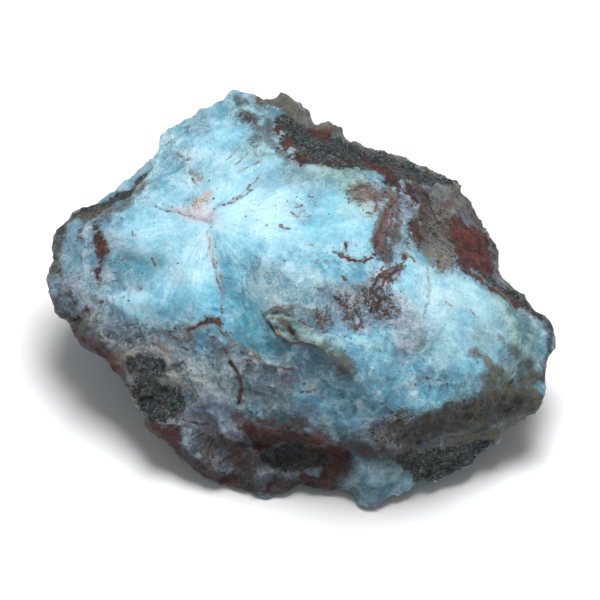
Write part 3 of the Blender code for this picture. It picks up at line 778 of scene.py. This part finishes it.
soil = towards(soil, OLIVE, blend_in(crumple(PLACES, 12, 91), 0.42, 0.58))
soil = towards(soil, UMBER, 0.6 * blend_in(crumple(PLACES, 10, 95), 0.52, 0.62))
stain = np.zeros(len(PLACES))
for colour, much, soft, path, width in SOILS:
    share = blend_in(stroke(path, width, SPOTS_BENT), -soft, soft)
    soil = towards(soil, colour, np.clip(share * 1.6, 0, 1) * SHOWN)
    stain = np.maximum(stain, much * share)
for path, width, soft in CLEANS:
    stain *= 1 - 0.8 * blend_in(stroke(path, width, SPOTS_BENT), -soft, soft)
hidden_stain = 0.4 + 0.5 * blend_in(crumple(PLACES, 9, 71), 0.46, 0.6)
stain = np.maximum(stain * SHOWN, hidden_stain * (1 - SHOWN))


# The cracks. Hair-thin breaks round the star, the vein and the crest are filled with dark
# brown dust, and single dark grains of matrix lie near them. They are too fine to fray. They
# are listed by their half width in steps.

CRACKS = {
    0.5: [
        [(427, 262), (428, 284), (426, 304), (423, 318)],
    ],
    0.6: [
        [(162, 204), (174, 207)],
    ],
    0.7: [
        [(240, 196), (252, 190)], [(215, 240), (218, 262), (222, 280)],
        [(299, 237), (309, 243), (318, 248)], [(226, 160), (240, 146)], [(234, 166), (250, 152)],
        [(240, 171), (260, 160)], [(222, 128), (236, 122)], [(205, 132), (214, 140)],
        [(349, 237), (352, 242), (359, 246)], [(270, 310), (284, 306), (300, 307), (314, 312)],
        [(445, 300), (452, 306)],
    ],
    0.8: [
        [(224, 206), (238, 199), (250, 189)], [(155, 207), (172, 211), (190, 215), (208, 222)],
        [(120, 262), (128, 256)], [(366, 213), (373, 215)], [(398, 250), (408, 255), (414, 262)],
        [(266, 320), (276, 334), (288, 344)],
        [(217, 329), (230, 342), (243, 352), (258, 360), (272, 366), (288, 369)],
        [(246, 360), (256, 365)], [(232, 336), (228, 330)], [(400, 372), (424, 376), (446, 384)],
        [(410, 386), (430, 380)],
    ],
    0.9: [
        [(213, 208), (222, 204), (232, 199), (242, 193), (250, 184), (258, 175)],
        [(208, 232), (210, 250), (216, 270), (221, 290), (222, 316)], [(356, 198), (364, 200)],
        [(272, 312), (284, 313), (296, 317)], [(298, 319), (308, 324), (318, 328)],
        [(290, 344), (302, 342), (318, 348)], [(326, 306), (324, 318)], [(221, 345), (226, 354)],
        [(389, 218), (395, 226)], [(384, 232), (392, 236), (398, 246)],
        [(396, 206), (402, 216), (400, 224)], [(312, 381)],
    ],
    1: [
        [(180, 162)], [(192, 152)], [(196, 172)], [(303, 216), (307, 218)], [(266, 226)], [(168, 243)],
        [(151, 257), (155, 265)], [(355, 283), (356, 287)], [(353, 194), (358, 189), (364, 187)],
        [(373, 213), (377, 204), (374, 196)], [(392, 214), (388, 232), (386, 246)],
        [(415, 212), (420, 222)], [(398, 190), (396, 204)], [(310, 314), (322, 320), (330, 318)],
        [(303, 391), (315, 388)], [(379, 246), (388, 250)], [(261, 362)], [(355, 329)], [(417, 342)],
        [(468, 312), (475, 317)], [(474, 352), (486, 356)], [(415, 446), (450, 438), (490, 436)],
    ],
    1.1: [
        [(186, 160), (191, 158)], [(293, 207), (303, 204)], [(297, 213), (306, 210)],
        [(278, 226), (289, 229)], [(132, 233), (135, 236)], [(133, 284), (141, 288)],
        [(288, 328), (293, 333)], [(318, 308), (317, 318), (322, 326)],
        [(332, 361), (342, 370), (352, 377)], [(460, 275)],
    ],
    1.2: [
        [(177, 153), (182, 156)], [(188, 170), (192, 174)], [(193, 180), (197, 186)], [(187, 200)],
        [(290, 212), (298, 217)], [(246, 123), (252, 118)], [(262, 158), (266, 154)],
        [(100, 205), (104, 207)], [(222, 277)], [(346, 243), (347, 251)],
        [(430, 205), (434, 215), (437, 223)], [(404, 262), (398, 274)], [(283, 315), (290, 317)],
        [(288, 387), (290, 391)], [(260, 382)], [(253, 371)], [(310, 407)], [(384, 309), (389, 316)],
        [(182, 350), (188, 351)],
    ],
    1.3: [
        [(184, 149)], [(243, 116), (250, 120)], [(255, 152), (258, 156)],
        [(392, 266), (380, 276), (370, 290)], [(266, 389), (277, 390)], [(366, 300), (370, 306)],
        [(219, 462), (231, 458)], [(400, 436), (396, 444)],
    ],
    1.4: [
        [(289, 369), (293, 369)], [(304, 384)], [(324, 397)], [(335, 296), (340, 303), (348, 308)],
        [(196, 438), (206, 434)], [(541, 324)],
    ],
    1.5: [
        [(333, 251), (340, 256), (350, 260), (362, 262), (373, 257)], [(341, 275), (345, 278)],
        [(280, 381), (285, 380)], [(343, 317), (352, 321)],
    ],
    1.6: [
        [(386, 208), (384, 218), (381, 228), (377, 238), (375, 250)],
        [(356, 312), (360, 322), (357, 328)], [(184, 420), (196, 424), (207, 424)],
        [(213, 440), (209, 455), (214, 470)],
    ],
    1.8: [
        [(409, 186), (413, 200)], [(425, 190), (430, 203)], [(397, 268), (389, 278), (380, 290)],
        [(290, 368), (294, 369)], [(228, 445)],
    ],
    2: [
        [(412, 222), (420, 232), (424, 240)], [(372, 292), (380, 300), (378, 308)],
    ],
    2.2: [
        [(386, 424), (396, 430)],
    ],
}
lines = [stroke(path, width, crooked_spots) for width, paths in CRACKS.items() for path in paths]
crack = least(np.maximum.reduce(lines) * STEP_MM - behind)


# The dark of the foot. Below the ledges the broken rock is steeped in rust and lies in the
# shade of what stands over it, so its colour is darkened there as painted shade.

PAINTED_SHADES = [
    ([(245, 442), (290, 448), (345, 467)], [9, 14, 14], 0.75, 7),
    ([(262, 462), (310, 462)], 9, 0.85, 6),
    ([(150, 432), (190, 462), (250, 484), (335, 484)], 8, 0.55, 8),
    ([(150, 425), (176, 436)], 8, 0.5, 6), ([(410, 436), (460, 426), (535, 404)], [11, 14, 9], 0.35, 9),
    ([(350, 490), (378, 484), (402, 470)], [10, 14, 10], 0.3, 7),
    ([(60, 300), (96, 350), (130, 385)], 8, 0.3, 7), ([(210, 440), (250, 470)], 16, 0.3, 10),
    ([(140, 395), (150, 420)], 9, 0.3, 6), ([(310, 355), (345, 378)], 6, 0.25, 6),
    ([(480, 345), (525, 372)], 14, 0.15, 10), ([(352, 448), (388, 458)], 11, 0.5, 7),
    ([(392, 446), (408, 452)], 8, 0.3, 6),
]
painted_shade = strongest(PAINTED_SHADES)


# The small things in the surface. Dark matrix runs like lace between the crystals of the
# vein, and where the stone broke through crystals instead of fibres it is sugary.

LACES = [
    ([(398, 268), (384, 280), (374, 290), (382, 306), (392, 310)], [6, 10, 13, 12, 6], 1),
    ([(338, 296), (350, 308), (356, 324)], [5, 8, 7], 0.75), ([(356, 292), (366, 300)], 8, 0.55),
    ([(175, 152), (192, 160)], 8, 0.35), ([(244, 116), (252, 122)], 6, 0.6),
    ([(258, 130), (272, 150)], 9, 0.4), ([(388, 206), (386, 228), (382, 250)], 13, 0.5),
    ([(354, 192), (380, 194)], 10, 0.55), ([(312, 198)], 7, 0.5), ([(290, 206), (304, 216)], 7, 0.4),
    ([(198, 160), (200, 180)], 5, 0.3), ([(410, 190), (428, 210), (418, 240)], 13, 0.8),
    ([(60, 285), (90, 310)], 14, 0.4), ([(120, 205), (84, 216)], 9, 0.5),
    ([(320, 316), (326, 324)], 8, 0.6), ([(215, 370), (300, 420)], 26, 0.16),
    ([(382, 430), (404, 424)], 12, 0.8), ([(440, 415), (500, 410)], 18, 0.3),
    ([(170, 335), (220, 352)], 12, 0.35), ([(190, 440), (240, 470)], 16, 0.5),
    ([(186, 206), (204, 200)], 5, 0.5), ([(438, 210), (448, 262)], 11, 0.6),
    ([(404, 232), (414, 250)], 6, 0.4), ([(250, 130), (266, 150)], 8, 0.4),
    ([(400, 372), (440, 384)], 12, 0.3), ([(250, 330), (262, 316)], 4, 0.3),
]
SUGARS = [
    ([(262, 278), (290, 300), (325, 300)], 17, 0.7), ([(138, 330), (180, 338)], 12, 0.7),
    ([(76, 285), (96, 290)], 14, 0.3), ([(200, 375), (300, 410)], 36, 0.1),
    ([(345, 300), (395, 312)], 17, 0.9), ([(420, 310), (480, 370)], 36, 0.3),
    ([(384, 436), (408, 424)], 13, 1), ([(200, 121)], 8, 0.7), ([(438, 210), (448, 256)], 14, 0.9),
    ([(130, 352), (165, 354), (174, 368), (188, 388)], 12, 1), ([(392, 200), (400, 245)], 12, 0.7),
    ([(366, 186), (376, 204)], 10, 0.6), ([(190, 366), (222, 384)], 14, 0.3),
    ([(96, 322), (136, 340)], 14, 0.3),
    ([(262, 99), (300, 113), (338, 132), (400, 150), (440, 168)], 9, 0.8),
    ([(58, 222), (50, 272)], 8, 0.6),
]
lace = 0.04 + strongest(LACES, -7, 3)
sugar = 0.06 + strongest(SUGARS, -9, 5)


# The stone itself. It is one piece, nothing is fixed to it, and its colours and minerals are
# in it, so they are written on the points of the one surface.

KINDS = {1: ("FLOAT", "value"), 3: ("FLOAT_VECTOR", "vector"), 4: ("FLOAT_COLOR", "color")}

mesh = mesh_of("larimar_stone", shaped, QUADS)
mesh.polygons.foreach_set("use_smooth", np.ones(len(QUADS), bool))
opaque = np.ones((len(PLACES), 1))
written = {
    "tint": np.hstack((tint, opaque)), "soil": np.hstack((soil, opaque)), "flow": flow,
    "basalt": basalt, "iron": iron, "stain": stain, "standing": relief, "silk": silk,
    "cleaved": cleaved, "lace": lace, "sugar": sugar, "crack": crack, "painted_shade": painted_shade,
}
for name, values in written.items():
    kind, entry = KINDS[values.size // len(PLACES)]
    data = mesh.attributes.new(name, kind, "POINT").data
    data.foreach_set(entry, values.astype(np.float32).ravel())
stone = bpy.data.objects.new("larimar_stone", mesh)
bpy.context.scene.collection.objects.link(stone)
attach(stone, "root")
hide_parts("stone")


# What it looks like close to. Polished nowhere: waxy blue pectolite that lets a little light
# in, with silky streaks and sugary grain, dull dark basalt with pale flecks, and earthy rust.

larimar = bpy.data.materials.new("larimar")
larimar.use_nodes = True
tree = larimar.node_tree
tree.nodes.clear()


def add(kind, sockets=(), **settings):
    """A node with its settings made. An input is linked to an output, or set to a number."""
    node = tree.nodes.new("ShaderNode" + kind)
    for name, value in settings.items():
        setattr(node, name, value)
    for name, value in dict(sockets).items():
        if isinstance(value, bpy.types.NodeSocket):
            tree.links.new(value, node.inputs[name])
        else:
            node.inputs[name].default_value = value
    return node


def field(name, output="Fac"):
    """What is written on the stone's points under this name."""
    return add("Attribute", attribute_name=name, attribute_type="GEOMETRY").outputs[output]


def joined(operation, value, *others):
    """Numbers or outputs joined one after the other by the operation named."""
    for other in others:
        value = add("Math", {0: value, 1: other}, operation=operation).outputs[0]
    return value


total, product, largest = (partial(joined, kind) for kind in ("ADD", "MULTIPLY", "MAXIMUM"))


def scaled(value, times, plus):
    """The value multiplied by one number or output, with another added."""
    return add("Math", {0: value, 1: times, 2: plus}, operation="MULTIPLY_ADD").outputs[0]


def ramp(value, start, end, low=0.0, high=1.0):
    """Low up to start, high from end on, eased between."""
    return add(
        "MapRange",
        {"Value": value, "From Min": start, "From Max": end, "To Min": low, "To Max": high},
        interpolation_type="SMOOTHSTEP",
    ).outputs[0]


def mixed(share, below, above, way="MIX"):
    """Two colours mixed: below where the share is 0, above where it is 1."""
    node = add("Mix", data_type="RGBA", blend_type=way)
    for place, value in ((0, share), (6, below), (7, above)):
        if isinstance(value, bpy.types.NodeSocket):
            tree.links.new(value, node.inputs[place])
        elif place == 0:
            node.inputs[place].default_value = value
        else:
            node.inputs[place].default_value = (*light_of(value), 1)
    return node.outputs[2]


def laid_over(under, *layers):
    """A colour with layers over it, each as strong as its pattern makes it.

    A layer is its pattern, where on it the layer starts and is full, how strong it is then,
    and its colour. What may follow is the share of it in each part, and the way of mixing.
    """
    for pattern, start, end, most, colour, *rest in layers:
        share = ramp(pattern, start, end, 0.0, most)
        if rest and rest[0] is not None:
            share = product(share, rest[0])
        under = mixed(share, under, colour, rest[1] if len(rest) > 1 else "MIX")
    return under


def noise(per_mm, detail, roughness, where=None, warp=0.0):
    """Fractal noise from 0 to 1: so many swells per mm, and detail halvings of them."""
    sockets = {"Scale": per_mm, "Detail": detail, "Roughness": roughness, "Distortion": warp}
    return add("TexNoise", {"Vector": where or places, **sockets}).outputs["Fac"]


def cells(per_mm, where):
    """Crystals round random points, so many to a mm: distance and colours of the nearest."""
    return add("TexVoronoi", {"Vector": where, "Scale": per_mm, "Randomness": 1.0})


def tones(crystals, channel):
    """A number from 0 to 1 for each crystal."""
    return add("SeparateColor", {0: crystals.outputs["Color"]}).outputs[channel]


def apart(value, spread):
    """A noise's distance from its middle, spread wide: about -spread to spread."""
    return scaled(value, 4 * spread, -2 * spread)


def near_half(value):
    """How far a noise is from its middle: 0 along thin winding lines."""
    return joined("ABSOLUTE", joined("SUBTRACT", value, 0.5), 0.0)


# The patterns, all measured in mm: soft and ragged patches, grain and grit, fibres along the
# flow, facets of crystals, and the threads, joints and hairlines that wind between them.
object_places = add("TexCoord").outputs["Object"]
places = add("VectorMath", {0: object_places, 1: [1 / MM] * 3}, operation="MULTIPLY").outputs[0]
elsewhere = add("VectorMath", {0: places, 1: (37, 11, 23)}, operation="ADD").outputs[0]
kinks = add("TexNoise", {"Vector": places, "Scale": 1.2, "Detail": 3.0}).outputs["Color"]
crooked = add("VectorMath", {0: places, 1: kinks}, operation="ADD").outputs[0]
soft = noise(0.3, 4, 0.55)
soft_too = noise(0.34, 4, 0.55, elsewhere)
ragged = noise(0.95, 5, 0.62, warp=0.5)
ragged_too = noise(0.8, 5, 0.62, elsewhere, 0.6)
grain = noise(3.0, 5, 0.65)
grit = noise(1.9, 6, 0.78, elsewhere)
fibres = noise(1.0, 5, 0.6, field("flow", "Vector"))
facet = tones(cells(2.6, crooked), 0)
edges = add("TexVoronoi", {"Vector": crooked, "Scale": 1.7}, feature="DISTANCE_TO_EDGE")
threads = near_half(noise(1.5, 6, 0.7, elsewhere, 0.8))
hairline = ramp(near_half(noise(0.55, 4, 0.6, crooked, 0.6)), 0.006, 0.001)

# Blue pectolite: painted shade deepens it in its hollows and a painted highlight frosts it
# where it stands up, with frosted and deep mottles, pale and blue fibres, grit where it broke
# with white flecks that are partly painted glints, and crystals, bright and dull, where it is
# sugary: partly painted glints and painted shade on their facets.
standing, sugary, laced = field("standing"), field("sugar"), field("lace")
broken = ramp(field("cleaved"), 0.0, 1.0, 1.0, 0.35)
silky = product(field("silk"), ramp(soft_too, 0.35, 0.6, 0.25, 1.0))
own = field("tint", "Color")
# A lighter copy of the tint, for frosted mottles and the painted highlight where the stone stands up.
frost_and_highlight = mixed(0.5, own, (226, 238, 244))
# A darker copy of the tint, for deep mottles and the painted shade in the hollows.
deep_and_shade = mixed(1.0, own, (158, 194, 208), "MULTIPLY")
blue = laid_over(
    own,
    (soft, 0.35, 0.65, 0.35, WHITE, None, "SOFT_LIGHT"),
    (soft_too, 0.52, 0.36, 0.65, deep_and_shade, broken),
    (ragged, 0.47, 0.41, 0.6, deep_and_shade, broken),
    (soft_too, 0.52, 0.62, 0.5, frost_and_highlight, broken),
    (ragged, 0.55, 0.61, 0.5, frost_and_highlight, broken),
    # Painted shade in the hollows and a painted highlight where the relief stands up.
    (standing, 0.0, -0.4, 0.7, deep_and_shade),
    (standing, 0.05, 0.4, 0.35, frost_and_highlight),
    (fibres, 0.5, 0.74, 0.6, (214, 240, 250), silky),
    (fibres, 0.48, 0.28, 0.4, (120, 196, 226), silky, "MULTIPLY"),
    (grit, 0.43, 0.36, 0.9, deep_and_shade, broken),
    # White flecks of grit on broken faces: partly painted glints.
    (grit, 0.59, 0.68, 0.6, (222, 240, 248), broken),
    # Sugary crystals: dull and bright facets, white and dark grit, partly painted shade and painted
    # glints.
    (facet, 0.45, 0.0, 0.45, (140, 160, 174), sugary, "MULTIPLY"),
    (facet, 0.6, 1.0, 0.6, (230, 238, 244), sugary),
    (grit, 0.5, 0.7, 0.45, (226, 238, 244), sugary),
    (grit, 0.44, 0.32, 0.7, (150, 166, 180), sugary, "MULTIPLY"),
    (ragged_too, 0.45, 0.6, 0.7, (84, 112, 122), product(hairline, broken)),
)

# Earth over it, mottled and gritty, then cracks with dust round them.
earth = laid_over(
    field("soil", "Color"),
    (ragged, 0.5, 0.6, 0.5, (150, 142, 146)),
    (soft, 0.5, 0.36, 0.6, (170, 152, 138), None, "MULTIPLY"),
    # White grit flecks where it is sugary: partly painted glints.
    (grit, 0.52, 0.68, 0.7, (206, 202, 194), sugary),
    (ragged_too, 0.48, 0.34, 0.6, (140, 128, 120), None, "MULTIPLY"),
    (grit, 0.46, 0.34, 0.45, (100, 90, 86), None, "MULTIPLY"),
)
staining = total(field("stain"), apart(ragged_too, 0.28), apart(soft, 0.3), apart(grit, 0.14))
stained = ramp(staining, 0.25, 1.0, 0.0, 0.92)
cracking = total(field("crack"), apart(ragged, 0.2), apart(grit, 0.1))
cracked = ramp(cracking, -0.04, 0.1, 0.0, 0.85)
dusted = ramp(total(field("crack"), apart(ragged_too, 0.3)), -0.5, 0.2, 0.0, 0.3)
dust = mixed(ramp(ragged_too, 0.44, 0.56), (62, 54, 54), (118, 88, 74))

# Iron, red to orange with dark grains, and basalt, nearly black with pale and brown flecks.
fray = total(apart(soft, 0.7), apart(ragged, 0.8), apart(grain, 0.4))
fray_too = total(apart(soft_too, 0.8), apart(ragged_too, 0.9), apart(grit, 0.45))
ironed = total(field("iron"), fray_too)
iron_near = ramp(ironed, -0.9, 0.4, 0.0, 0.5)
iron_in = ramp(total(ironed, apart(grit, 0.5)), 0.0, 0.8, 0.0, 0.92)
rust = laid_over(
    (80, 34, 30),
    (soft, 0.44, 0.58, 1.0, (132, 56, 44)),
    (ragged, 0.53, 0.6, 0.75, (146, 84, 58)),
    (ragged_too, 0.44, 0.34, 0.4, (96, 72, 76)),
    (fibres, 0.44, 0.32, 0.4, (40, 24, 26)),
    (grit, 0.48, 0.34, 0.85, (26, 18, 20)),
    (grit, 0.58, 0.72, 0.5, (160, 130, 116)),
)
rocky = total(field("basalt"), fray)
basalt_in = ramp(rocky, -0.05, 0.25)
basalt_near = ramp(rocky, -0.8, -0.1, 0.0, 0.45)
rock = laid_over(
    (36, 45, 50),
    (ragged, 0.42, 0.58, 1.0, (74, 86, 92)),
    (soft_too, 0.56, 0.66, 0.6, (98, 84, 76)),
    (fibres, 0.54, 0.68, 0.7, (138, 124, 114)),
    (grit, 0.52, 0.64, 0.85, (158, 168, 164)),
    (grit, 0.46, 0.37, 0.9, (12, 14, 18)),
)

# Lace: dark threads and joints between the crystals, and dark dots. Specks lie all over.
lacy = largest(laced, ramp(ironed, -1.3, 0.3, 0.0, 0.9))
thread = ramp(scaled(lacy, -0.022, threads), 0.004, -0.006)
thread = product(thread, ramp(lacy, 0.08, 0.4, 0.0, 0.85))
gap = scaled(laced, product(ramp(ragged_too, 0.4, 0.62), -0.34), edges.outputs["Distance"])
jointed = product(ramp(gap, 0.02, -0.05), ramp(laced, 0.35, 0.7, 0.0, 0.85))
joint = mixed(ramp(ragged, 0.42, 0.6), (60, 50, 48), (112, 92, 82))
dots, specks = cells(0.9, crooked), cells(2.1, crooked)
dotted = joined("LESS_THAN", tones(dots, 1), laced)
dot = product(ramp(dots.outputs["Distance"], 0.26, 0.14, 0.0, 0.9), dotted)
few = joined("LESS_THAN", tones(specks, 2), 0.09)
speck = product(ramp(specks.outputs["Distance"], 0.3, 0.16, 0.0, 0.8), few)

colour = blue
for share, over in (
    (stained, earth), (dusted, (170, 158, 156)), (cracked, dust), (iron_near, (134, 106, 102)),
    (jointed, joint), (dot, (48, 40, 42)), (speck, (52, 56, 58)), (basalt_near, (124, 118, 98)),
    (basalt_in, rock), (iron_in, rust), (thread, (70, 42, 38)),
):
    colour = mixed(share, colour, over)
# Painted shade: the colour is darkened under the ledges and at the foot.
colour = mixed(field("painted_shade"), colour, (64, 48, 46), "MULTIPLY")

rough_here = largest(product(sugary, 0.8), basalt_in, iron_in, stained)
height = total(
    product(ragged, broken),
    product(fibres, field("silk"), 0.2),
    product(grit, broken, scaled(rough_here, 1.5, 0.15)),
)
bumps = add("Bump", {"Height": height, "Strength": 1.0, "Distance": 0.75 * MM}).outputs[0]
rough = total(ramp(largest(basalt_in, iron_in), 0, 1, 0.42, 0.74), apart(grain, 0.1))
surface = add(
    "BsdfPrincipled",
    {
        "Base Color": colour, "Roughness": rough, "Normal": bumps, "IOR": 1.5,
        "Subsurface Weight": 0.12, "Subsurface Radius": (0.8, 1.0, 1.1), "Subsurface Scale": 1.2 * MM,
    },
)
tree.links.new(surface.outputs[0], add("OutputMaterial").inputs["Surface"])
mesh.materials.append(larimar)


# The ground. It is plain pale paper, and the light is an overcast sky with a wide soft lamp
# above. The camera looks along the line from which the show face is seen.

REACH, DROP = 2, 0.1 * MM
ground_mesh = bpy.data.meshes.new("ground")
corners = [(x * REACH, y * REACH, -DROP) for x, y in ((-1, -1), (1, -1), (1, 1), (-1, 1))]
ground_mesh.from_pydata(corners, [], [(0, 1, 2, 3)])
ground = bpy.data.objects.new("ground", ground_mesh)
bpy.context.scene.collection.objects.link(ground)
paper = bpy.data.materials.new("paper")
paper.use_nodes = True
sheet = paper.node_tree.nodes["Principled BSDF"].inputs
sheet["Base Color"].default_value = (0.93, 0.93, 0.93, 1)
sheet["Roughness"].default_value = 0.9
ground_mesh.materials.append(paper)

sky = bpy.data.worlds.new("sky")
sky.use_nodes = True
cloudy = sky.node_tree.nodes["Background"].inputs
cloudy["Color"].default_value = (1, 1, 1, 1)
cloudy["Strength"].default_value = 0.28
bpy.context.scene.world = sky

lamp = bpy.data.objects.new("lamp", bpy.data.lights.new("lamp", "AREA"))
lamp.data.size = 0.4
lamp.data.energy = 7.8
lamp.location = (0.06, 0.08, 0.86)
lamp.rotation_euler = (Vector(MIDDLE) - lamp.location).to_track_quat("-Z", "Y").to_euler()
bpy.context.scene.collection.objects.link(lamp)

camera = bpy.data.objects.new("camera", bpy.data.cameras.new("camera"))
camera.data.lens = 500
camera.data.sensor_width = 36
camera.location = Vector(MIDDLE) + Vector(TO_FACE) * SEEN_FROM
camera.rotation_euler = (math.pi / 2 - FACE_PITCH, 0, 0)
bpy.context.scene.collection.objects.link(camera)
bpy.context.scene.camera = camera
bpy.context.scene.view_settings.view_transform = "Standard"
